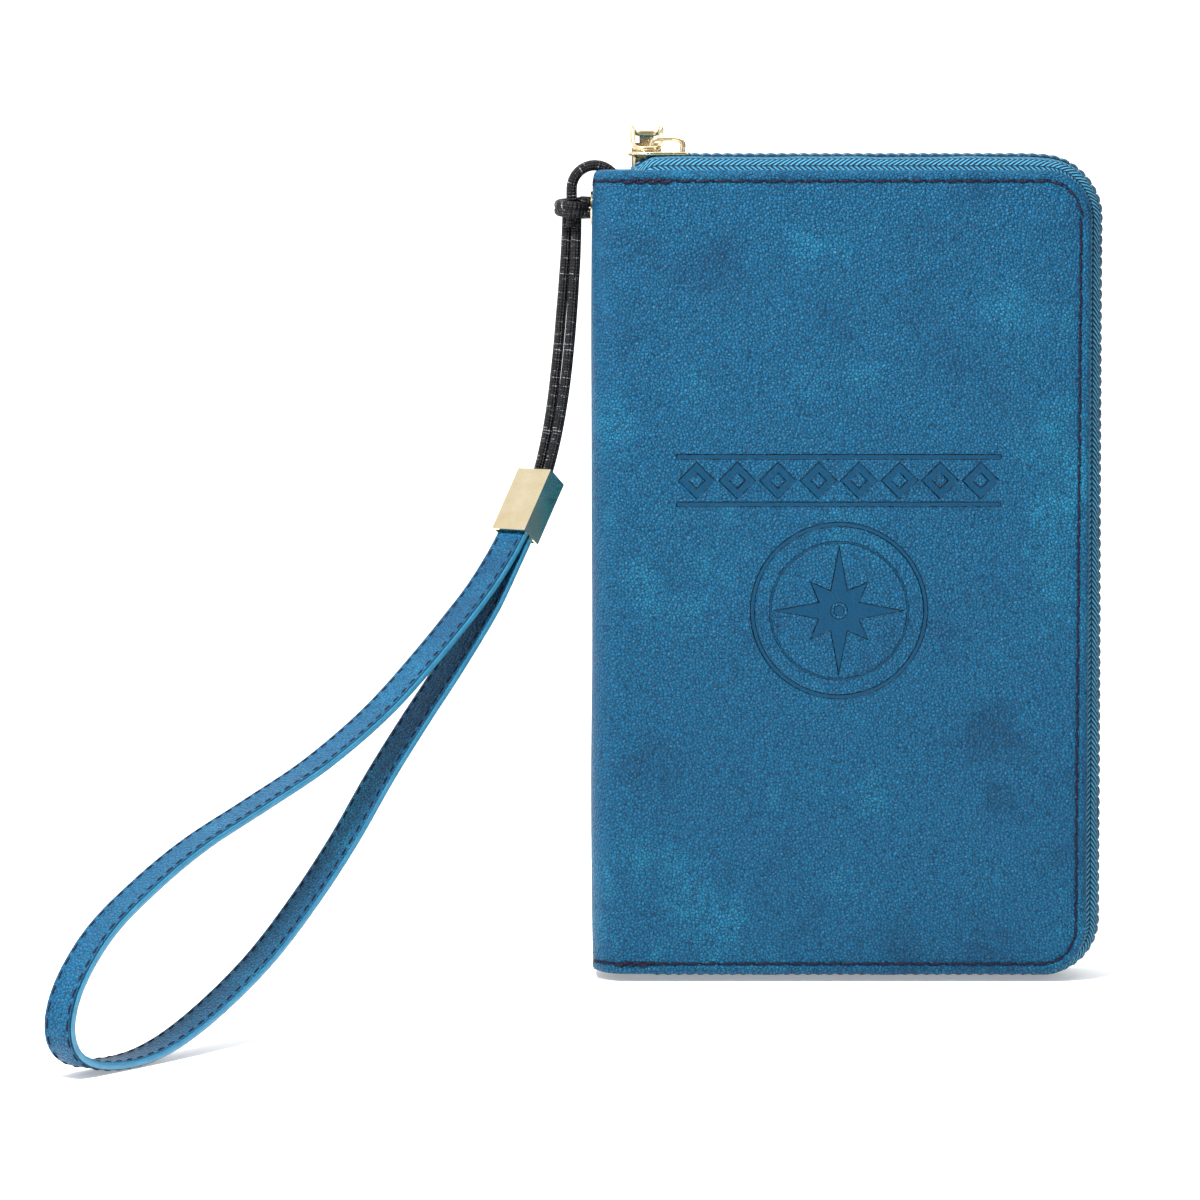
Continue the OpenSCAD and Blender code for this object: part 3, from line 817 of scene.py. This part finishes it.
TAPE_PROFILE = [
    (-8.8, 10.95), (-5.5, 10.95), (-3.9, 10.85), (-3.0, 10.45), (-2.0, 10.0), (-1.15, 9.5), (-0.6, 8.8),
    (-0.24, 7.8), (-0.08, 6.6), (0.0, 5.4), (0.04, 4.2), (0.03, 3.1), (-0.02, 2.2), (-0.05, 1.4),
    (-0.10, 0.8), (-0.22, 0.45), (-0.45, 0.36), (-0.7, 0.5), (-0.78, 1.1), (-0.78, 3.0), (-0.85, 5.4),
    (-1.1, 7.4), (-1.9, 8.7), (-3.0, 9.5), (-4.0, 10.05), (-5.5, 10.15), (-8.8, 10.15),
]
CHAIN_PITCH, CHAIN_STITCH = 2.57, 2.5


def zipper_tape(name, side):
    parts = Parts()
    count = int(ZIP_LENGTH / 1.6)
    rows, uvs = [], []
    across = distances(TAPE_PROFILE)
    for i in range(count + 1):
        s = ZIP_LENGTH * i / count
        sway = 0.10 * math.sin(s * 0.19 + side) + 0.07 * math.sin(s * 0.47 + 2)
        row = []
        for o, w in TAPE_PROFILE:
            loose = smoothstep((o + 2.0) / 1.5) * smoothstep((w - 2) / 3)
            row.append(zip_point(s, o + loose * sway, w, side))
        rows.append(row)
        uvs.append([(s, v) for v in across])
    parts.grid(rows, uvs, flip=side < 0)
    return parts.make(name, M_TAPE)


def chain_stitches(name, side):
    parts = Parts()
    s = 1.0
    while s < ZIP_LENGTH - 2.4:
        for w in (0.75, 2.25):
            path, radii = [], []
            for t in (0.0, 0.15, 0.5, 0.85, 1.0):
                lift = 0.34 * math.sin(math.pi * t) + 0.08
                path.append(zip_point(s + CHAIN_STITCH * t, lift, w + (1.5 - w) * t * 0.8, side))
                radii.append(0.28 if t in (0.0, 1.0) else 0.52)
            tube(parts, path, 0.4, 6, radii=radii)
        s += CHAIN_PITCH
    return parts.make(name, M_COIL)


def coil(name, side, start):
    """One half of the coil: a nylon thread wound in flat loops under the tape."""
    parts = Parts()
    pitch, steps = 1.3, 8
    path = []
    turns = int((ZIP_LENGTH - start - 2) / pitch)
    for i in range(turns * steps):
        a = 2 * math.pi * i / steps
        c, d = math.cos(a), math.sin(a)
        o = -2.05 + 0.92 * rounded(c, 0.75)
        w = 1.75 + 1.0 * rounded(d, 0.75)
        path.append(zip_point(start + 1 + pitch * i / steps + (pitch / 2 if side > 0 else 0), o, w, side))
    tube(parts, path, 0.30, 5, up=(0, 1, 0.2))
    return parts.make(name, M_COIL)


for half, side in (("front", -1), ("back", 1)):
    body = half + "_half"
    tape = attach(zipper_tape(half + "_zipper_tape_weave", side), body)
    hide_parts("zipper_tape_" + half)
    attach(chain_stitches(half + "_chain_stitches", side), body)
    first = 16.0 if side < 0 else 0.5
    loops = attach(coil(half + "_coil_loops", side, first), body)
    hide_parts("zipper_coil_" + half)


# ---------- lining, pockets ----------
def panel(parts, x0, x1, z0, z1, y_out, y_in, r, bevel=0.25):
    """A flat panel with rounded corners and soft edges. y_in is the face that shows in the open wallet."""
    def ring(inset, y):
        rr = max(r - inset, 0.05)
        points = []
        corners = ((x1 - r, z1 - r, 0), (x0 + r, z1 - r, 90), (x0 + r, z0 + r, 180), (x1 - r, z0 + r, 270))
        for cx, cz, a0 in corners:
            for k in range(5):
                a = math.radians(a0 + 22.5 * k)
                points.append((cx + rr * math.cos(a), y, cz + rr * math.sin(a)))
        return points

    flip = y_in > y_out
    step = math.copysign(1.0, y_in - y_out)
    levels = ((bevel + 0.7, 0.0), (bevel, 0.0), (bevel * 0.3, bevel * 0.3), (0, bevel))
    rings = [ring(inset, y_out + step * rise) for inset, rise in levels]
    rings += [ring(inset, y_in - step * rise) for inset, rise in reversed(levels)]
    uvs = [[(p[0] + p[1], p[2]) for p in row] for row in rings]
    base = parts.grid(rings, uvs, close_row=True, flip=not flip)
    n = len(rings[0])
    parts.cap(base, n, flip=not flip)
    parts.cap(base + (len(rings) - 1) * n, n, flip=flip)


def panel_stitches(name, runs, y, out, body):
    """Rows of stitches on a panel face. runs are pairs of (x, z) points."""
    parts = Parts()
    pitch, lean = 3.6, 0.06
    for a, b in runs:
        for (x, z), d, _ in walk([a, b], pitch, pitch / 2):
            along = (d[0] + lean * d[1], 0, d[1] - lean * d[0])
            stitch(parts, (x, y, z), along, (0, out, 0), 2.7, 0.24, 0.02)
    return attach(parts.make(name, M_THREAD), body)


def pocket(node, body, towards):
    """The CAD pocket as a soft-edged leather panel, sewn down both sides and along its hem."""
    low, high = box_mm(node)
    y_out, y_in = (low[1], high[1]) if towards > 0 else (high[1], low[1])
    parts = Parts()
    panel(parts, low[0], high[0], low[2], high[2], y_out, y_in, 2.5)
    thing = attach(parts.make(node + "_leather", M_POCKET), body)
    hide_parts(node)
    x0, x1, z0, z1 = low[0] + 2, high[0] - 2, low[2] + 2, high[2] - 2.4
    runs = [((x0, z0), (x0, z1 - 3)), ((x1, z0), (x1, z1 - 3)), ((x0, z1), (x1, z1))]
    panel_stitches(node + "_stitches", runs, y_in, towards, body)


def cover_lining(node, body, towards):
    low, high = box_mm(node)
    y_out, y_in = (low[1], high[1]) if towards > 0 else (high[1], low[1])
    parts = Parts()
    panel(parts, low[0], high[0], low[2], high[2], y_out, y_in, 9.0, 0.15)
    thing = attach(parts.make(node + "_cloth", M_LINING), body)
    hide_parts(node)


cover_lining("front_lining", "front_half", 1)
cover_lining("back_lining", "back_half", -1)
for k in range(1, 5):
    pocket("card_pocket_" + str(k), "front_half", 1)
pocket("boarding_pass_pocket", "back_half", -1)


def passport_pocket():
    low, high = box_mm("passport_pocket")
    parts = Parts()
    wall = 1.0
    panel(parts, low[0], high[0], low[2], high[2], low[1] + wall, low[1], 2.0)
    for x in (low[0], high[0] - wall):
        panel(parts, x, x + wall, low[2], high[2] - 1, high[1], low[1] + wall * 0.6, 0.4)
    panel(parts, low[0], high[0], low[2], low[2] + wall, high[1], low[1] + wall * 0.6, 0.4)
    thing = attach(parts.make("passport_pouch_leather", M_POCKET), "back_half")
    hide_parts("passport_pocket")
    x0, x1, z0, z1 = low[0] + 2, high[0] - 2, low[2] + 2, high[2] - 2.4
    runs = [((x0, z0), (x0, z1)), ((x1, z0), (x1, z1)), ((x0, z0), (x1, z0)), ((x0, z1), (x1, z1))]
    panel_stitches("passport_pouch_stitches", runs, low[1], -1, "back_half")


passport_pocket()


def spine_lining():
    low, high = box_mm("spine_lining")
    parts = Parts()
    ys = np.linspace(low[1], high[1], 5)
    zs = np.linspace(low[2], EYELET_LOW[2] - 0.2, 24)
    for x, turned in ((low[0], True), (high[0], False)):
        rows = [[(x, y, z) for y in ys] for z in zs]
        parts.grid(rows, [[(y, z) for y in ys] for z in zs], flip=turned)
    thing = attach(parts.make("spine_lining_cloth", M_LINING), "spine")
    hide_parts("spine_lining")


spine_lining()


def pen_loop():
    low, high = box_mm("pen_loop")
    parts = Parts()
    thick = 0.8
    r = (high[0] - low[0]) / 2 - thick / 2
    cx = (low[0] + high[0]) / 2
    z0, z1 = low[2], high[2]
    section = [(thick / 2, z0 + 0.4), (thick / 2, z1 - 0.4), (0.2, z1 - 0.08), (0, z1), (-0.2, z1 - 0.08),
               (-thick / 2, z1 - 0.4), (-thick / 2, z0 + 0.4), (-0.2, z0 + 0.08), (0, z0), (0.2, z0 + 0.08)]
    rows, uvs = [], []
    for k in range(48):
        a = 2 * math.pi * k / 48
        rows.append([(cx + (r + d) * math.cos(a), (r + d) * math.sin(a), z) for d, z in section])
        uvs.append([(r * a, z) for _, z in section])
    parts.grid(rows, uvs, close_row=True, close_column=True)
    foot = [(low[0], -4.2), (low[0], 4.2), (low[0] + thick, 4.2), (low[0] + thick, -4.2)]
    rows = [[(x, y, z) for x, y in foot] for z in (z0 + 0.1, z1 - 0.1)]
    parts.grid(rows, [[(y, z) for _, y in foot] for z in (z0, z1)], close_row=True)
    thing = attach(parts.make("pen_loop_elastic", M_ELASTIC), "spine")
    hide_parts("pen_loop")


pen_loop()


# ---------- metal ----------
def slider_plate(parts, z0, z1, edge):
    """A plate of the slider: round at the nose, flared at the open end, with soft edges."""
    low, high = box_mm("slider_body")
    half, length = (high[1] - low[1]) / 2, high[0] - low[0]
    widths = [(0, 0.0), (0.25, 1.5), (0.9, 2.6), (2.0, 3.5), (3.6, 4.0), (6, 4.2), (9, 4.25), (11.5, 4.4),
              (13.3, 4.6), (14.4, 4.45), (14.9, 3.9), (15, 3.0)]
    upper = [(low[0] + x * length / 15, w * half / 4.6) for x, w in widths]
    loop = upper + [(x, -w) for x, w in reversed(upper[1:])]
    middle = np.array([low[0] + length / 2, 0])
    rings, uvs = [], []
    for inset, z in ((edge, z0), (edge * 0.3, z0 + edge * 0.3), (0, z0 + edge), (0, z1 - edge),
                     (edge * 0.3, z1 - edge * 0.3), (edge, z1), (2.2, z1 + 0.12)):
        ring = []
        for x, y in loop:
            p = np.array([x, y])
            p = p + (middle - p) * inset / max(np.linalg.norm(middle - p), 1.0)
            ring.append((p[0], p[1], z))
        rings.append(ring)
        uvs.append([(q[0], q[1]) for q in ring])
    base = parts.grid(rings, uvs, close_row=True, flip=True)
    n = len(loop)
    parts.cap(base, n)
    parts.cap(base + (len(rings) - 1) * n, n, flip=True)


def slider():
    low, high = box_mm("slider_body")
    parts = Parts()
    slider_plate(parts, high[2] - 0.72, high[2] + 0.1, 0.28)
    slider_plate(parts, low[2], low[2] + 0.7, 0.28)
    floor_z, slot_z, wall = low[2] + 0.6, high[2] - 2.3, 0.55
    middle, reach = (floor_z + slot_z) / 2, (slot_z - floor_z) / 2
    ends = ((low[0] + 3, 0.3), (low[0] + 3.6, 0.52), (high[0] - 1.6, wall), (high[0] - 0.9, 0.3))
    for side in (-1, 1):
        y = side * (high[1] - wall)
        rows = []
        for x, r in ends:
            rows.append([(x, y + r * rounded(math.cos(a), 0.6),
                          middle + reach * (r / wall) * rounded(math.sin(a), 0.6))
                         for a in np.linspace(0, 2 * math.pi, 16, endpoint=False)])
        base = parts.grid(rows, [[(p[0], p[2]) for p in row] for row in rows], close_row=True)
        parts.cap(base, 16, flip=True)
        parts.cap(base + 48, 16)
    post = [(low[0] + 2.1, 0, z) for z in np.linspace(low[2] + 0.3, high[2] - 0.3, 4)]
    tube(parts, post, 0.5, 12)
    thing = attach(parts.make("slider_plates", M_GOLD), "slider")
    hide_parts("slider_body")


def bridge():
    """Rounded band bent into an arch, thicker over its right foot."""
    low, high = box_mm("slider_bridge")
    z0, z1 = low[2] - 0.1, high[2] - 0.42
    x0, x1 = low[0] + 0.7, high[0] - 0.8
    arch = [(x0, z0), (x0 - 0.05, z1 - 1.2), (x0 + 0.7, z1 - 0.12), (x0 + 2.6, z1), (x1 - 2.4, z1 + 0.02),
            (x1 - 0.5, z1 - 0.45), (x1, z1 - 1.6), (x1 - 0.2, z0)]
    path = spline([(x, 0, z) for x, z in arch], 5)
    n = len(path)
    radii = [0.50 + 0.20 * smoothstep((i / n - 0.5) / 0.3) for i in range(n)]
    parts = Parts()
    tube(parts, path, 0.6, 14, squash=1.75, up=(0, 1, 0), radii=radii)
    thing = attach(parts.make("slider_arch", M_GOLD), "slider")
    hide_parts("slider_bridge")


def pull_link():
    """Oval ring of wire that humps over the cover's edge between its two bars."""
    low, high = box_mm("pull_link")
    wire, hump, clear = 0.6, 2.8, 0.22
    half = (high[0] - low[0]) / 2 - wire
    path = []
    steps = 56
    for k in range(steps + 1):
        a = 2 * math.pi * k / steps
        t = (rounded(math.sin(a), 0.75) + 1) / 2
        x = (low[0] + high[0]) / 2 + half * rounded(math.cos(a), 0.6)
        rise = math.sin(math.pi * max(0.0, t - clear) / (1 - clear)) ** 2
        z = low[2] + wire + (high[2] - low[2] - 2 * wire) * t + hump * rise
        path.append((x, low[1] + wire + (high[1] - low[1] - 2 * wire) * t, z))
    parts = Parts()
    tube(parts, path, wire, 12, up=(0, 0, 1))
    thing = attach(parts.make("pull_link_ring", M_GOLD), "pull_link")
    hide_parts("pull_link")


slider()
bridge()
pull_link()


def paint_node(node, material):
    """Paints a CAD node that stays visible."""
    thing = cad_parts[node]
    thing.data.materials.clear()
    thing.data.materials.append(material)
    return thing


for node in ("pull_tab", "eyelet", "eyelet_washer", "strap_clamp"):
    thing = paint_node(node, M_GOLD)
    bevel = thing.modifiers.new("soft_edges", "BEVEL")
    bevel.width = (0.15 if node in ("eyelet", "eyelet_washer") else 0.28) * MM
    bevel.segments = 3
    bevel.limit_method = "ANGLE"
    bevel.angle_limit = math.radians(40)
for node in ("front_cover_board", "back_cover_board"):
    paint_node(node, M_BOARD)


# ---------- cord hitch ----------
def cord_hitch():
    parts = Parts()
    arch_z, reach, apart = 187.5, (INNER_X - HITCH_X) / 2, 1.3
    for side in (-1, 1):
        y = apart * side
        path = [(HITCH_X, y, z) for z in np.linspace(178.4, arch_z, 8)]
        for k in range(1, 16):
            a = math.pi * (1 - k / 16)
            path.append((HITCH_X + reach + reach * math.cos(a), y, arch_z + reach * math.sin(a)))
        path += [(INNER_X, y, z) for z in np.linspace(arch_z, EYELET_Z - 2.2, 5)]
        tube(parts, path, CORD_D / 2, 14)
    wrap, bend_x = 2.9, -58.5
    path = [(x, 0.2, EYELET_Z + CORD_D / 2) for x in (INNER_X, bend_x)]
    turns, steps = 2.0, 20
    start = math.radians(-20)
    for k in range(int(turns * steps) + 1):
        a = start + 2 * math.pi * k / steps
        c, s = math.cos(a), math.sin(a)
        y = wrap * s + (apart if s > 0 else -apart) * min(1, abs(s) * 3)
        path.append((HITCH_X + wrap * c, y, EYELET_Z + 1.5 - 2.6 * k / (turns * steps) * 1.1))
    path += [(x, -0.2, EYELET_Z - CORD_D / 2) for x in (bend_x, INNER_X)]
    tube(parts, spline(path, 3), CORD_D / 2, 14)
    return parts.make("cord_hitch_braid", M_CORD)


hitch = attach(cord_hitch(), "spine")
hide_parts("cord_hitch")

# ---------- free cord strands ----------
for name, side in (("left", 1), ("right", -1)):
    line = spline([strap_point(s, z, side * w) for s, z, w in STRAND_ROUTE], 4)
    parts = Parts()
    tube(parts, line, CORD_D / 2, 14)
    strand = parts.make("cord_strand_" + name + "_braid", M_CORD)
    metres(strap_point(0, 178.5))
    metres(strap_point(1.5, 162))
    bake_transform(strand)
    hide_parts("cord_strand_" + name)
    metres(line[0])
    [metres(p) for p in line]


# ---------- strap ----------
# One side of the strap's cross-section: [offset across, height], in millimetres
STRAP_FACE = [
    (-3.55, 0.90), (-2.9, 0.86), (-2.2, 0.90), (0, 0.92), (2.2, 0.90), (2.9, 0.86), (3.55, 0.90),
    (3.85, 0.72), (4.0, 0.4), (4.0, 0.0), (4.0, -0.4), (3.85, -0.72),
]
STRAP_SECTION = STRAP_FACE + [(-w, -h) for w, h in STRAP_FACE]
STRAP_PAINTED = {7, 8, 9, 10, 19, 20, 21, 22}


def strap():
    line = spline(LOOP_ROUTE, 8)
    n, m = len(line), len(STRAP_SECTION)
    around = distances(STRAP_SECTION)
    rows, uvs, run = [], [], 0.0
    for i, p in enumerate(line):
        t = unit(line[min(i + 1, n - 1)] - line[max(i - 1, 0)])
        if i:
            run += float(np.linalg.norm(p - line[i - 1]))
        rows.append([strap_point(p[0] - t[1] * h, p[1] + t[0] * h, w) for w, h in STRAP_SECTION])
        uvs.append([(run, v) for v in around])
    parts = Parts()
    base = parts.grid(rows, uvs, close_row=True)
    parts.indices = [1 if k % m in STRAP_PAINTED else 0 for k in range((n - 1) * m)]
    parts.cap(base, m, flip=True)
    parts.cap(base + (n - 1) * m, m)
    thing = parts.make("strap_leather", [M_STRAP, M_STRAP_EDGE])
    threads = Parts()
    bare = 4
    for w in (-2.9, 2.9):
        for (s, z), d, at in walk(line, 3.5, 3.0):
            if at < bare or at > run - bare:
                continue
            for face in (-1, 1):
                a = np.array([-d[1], d[0]]) * face
                centre = strap_point(s + a[0] * 0.86, z + a[1] * 0.86, w)
                out = strap_point(a[0], a[1]) - strap_point(0, 0)
                along = strap_point(d[0], d[1], 0.05) - strap_point(0, 0)
                stitch(threads, centre, along, out, 2.55, 0.25, 0.04)
    sewn = threads.make("strap_stitches", M_THREAD)
    return thing, sewn, [strap_point(p[0], p[1]) for p in line]


strap_piece, strap_thread, strap_line = strap()
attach(strap_piece, "strap")
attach(strap_thread, "strap")
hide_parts("strap_loop")
metres(strap_line[0])
[metres(p) for p in strap_line]


# ---------- floor and light ----------
def floor_paint(name, glow):
    p = Paint(name, 0.6).space()
    soft = p.noise(240, 2.0)
    p.colour(p.ramp(soft, [(0.3, (0.84, 0.84, 0.84)), (0.7, (0.87, 0.87, 0.87))]))
    p.bump((p.noise(3.0, 3.0), 0.02))
    p.set(Emission_Color=(1, 1, 1, 1), Emission_Strength=glow)
    return p.material


def sweep():
    """Floor that curves up into a backdrop."""
    edge, bend_r, far_y = 4500, 900, 1000
    bend_y = edge - bend_r
    profile = [(-edge, 0), (0, 0), (far_y, 0), (bend_y, 0)]
    for k in range(1, 13):
        a = math.pi / 2 * k / 12
        profile.append((bend_y + bend_r * math.sin(a), bend_r - bend_r * math.cos(a)))
    profile.append((edge, 5000))
    rows = [[(x, y, z) for x in (-edge, 0, edge)] for y, z in profile]
    parts = Parts()
    parts.grid(rows, [[(p[0], p[1]) for p in row] for row in rows])
    far = [1 if points[0][1] >= far_y else 0 for points in rows[:-1] for _ in range(2)]
    paints = [floor_paint("pale_floor", 0.32), floor_paint("pale_backdrop", 0.75)]
    return build("floor", parts.points, parts.faces, parts.uvs, paints, far)


floor = sweep()


def softbox(name, place, target, size, power):
    data = bpy.data.lights.new(name, "AREA")
    data.shape = "RECTANGLE"
    data.size, data.size_y = size
    data.energy = power
    lamp = bpy.data.objects.new(name, data)
    lamp.location = place
    lamp.rotation_euler = (Vector(target) - Vector(place)).to_track_quat("-Z", "Y").to_euler()
    bpy.context.scene.collection.objects.link(lamp)


softbox("key", (-0.30, -0.42, 0.80), (-0.02, 0, 0.1), (0.24, 0.16), 14.5)
softbox("fill", (1.3, -0.8, 0.5), (0, 0, 0.1), (0.6, 1.1), 3)
softbox("top", (0.1, 0.35, 1.4), (0, 0.1, 0.1), (1.6, 0.8), 8)


def studio_world(bright, dim):
    """White surroundings, dim behind the camera, dark to the right and brighter to the left."""
    world = bpy.data.worlds.new("studio")
    world.use_nodes = True
    tree = world.node_tree
    coord = tree.nodes.new("ShaderNodeTexCoord")
    split = tree.nodes.new("ShaderNodeSeparateXYZ")
    tree.links.new(coord.outputs["Generated"], split.inputs[0])
    front = Val(tree, split.outputs["Y"]) * -1.0
    side = Val(tree, split.outputs["X"])
    up = Val(tree, split.outputs["Z"]).abs()
    strength = front.step(0.96, 0.70) * (bright - dim) + dim
    strength = strength + (side * -1.0).step(0.3, 0.9) * 0.75
    strength = strength - side.step(0.55, 0.9) * up.step(0.6, 0.25) * 0.50
    back = tree.nodes["Background"]
    back.inputs["Color"].default_value = (0.97, 0.98, 1.0, 1)
    tree.links.new(strength.socket, back.inputs["Strength"])
    bpy.context.scene.world = world


studio_world(0.50, 0.08)
bpy.context.scene.view_settings.view_transform = "Standard"
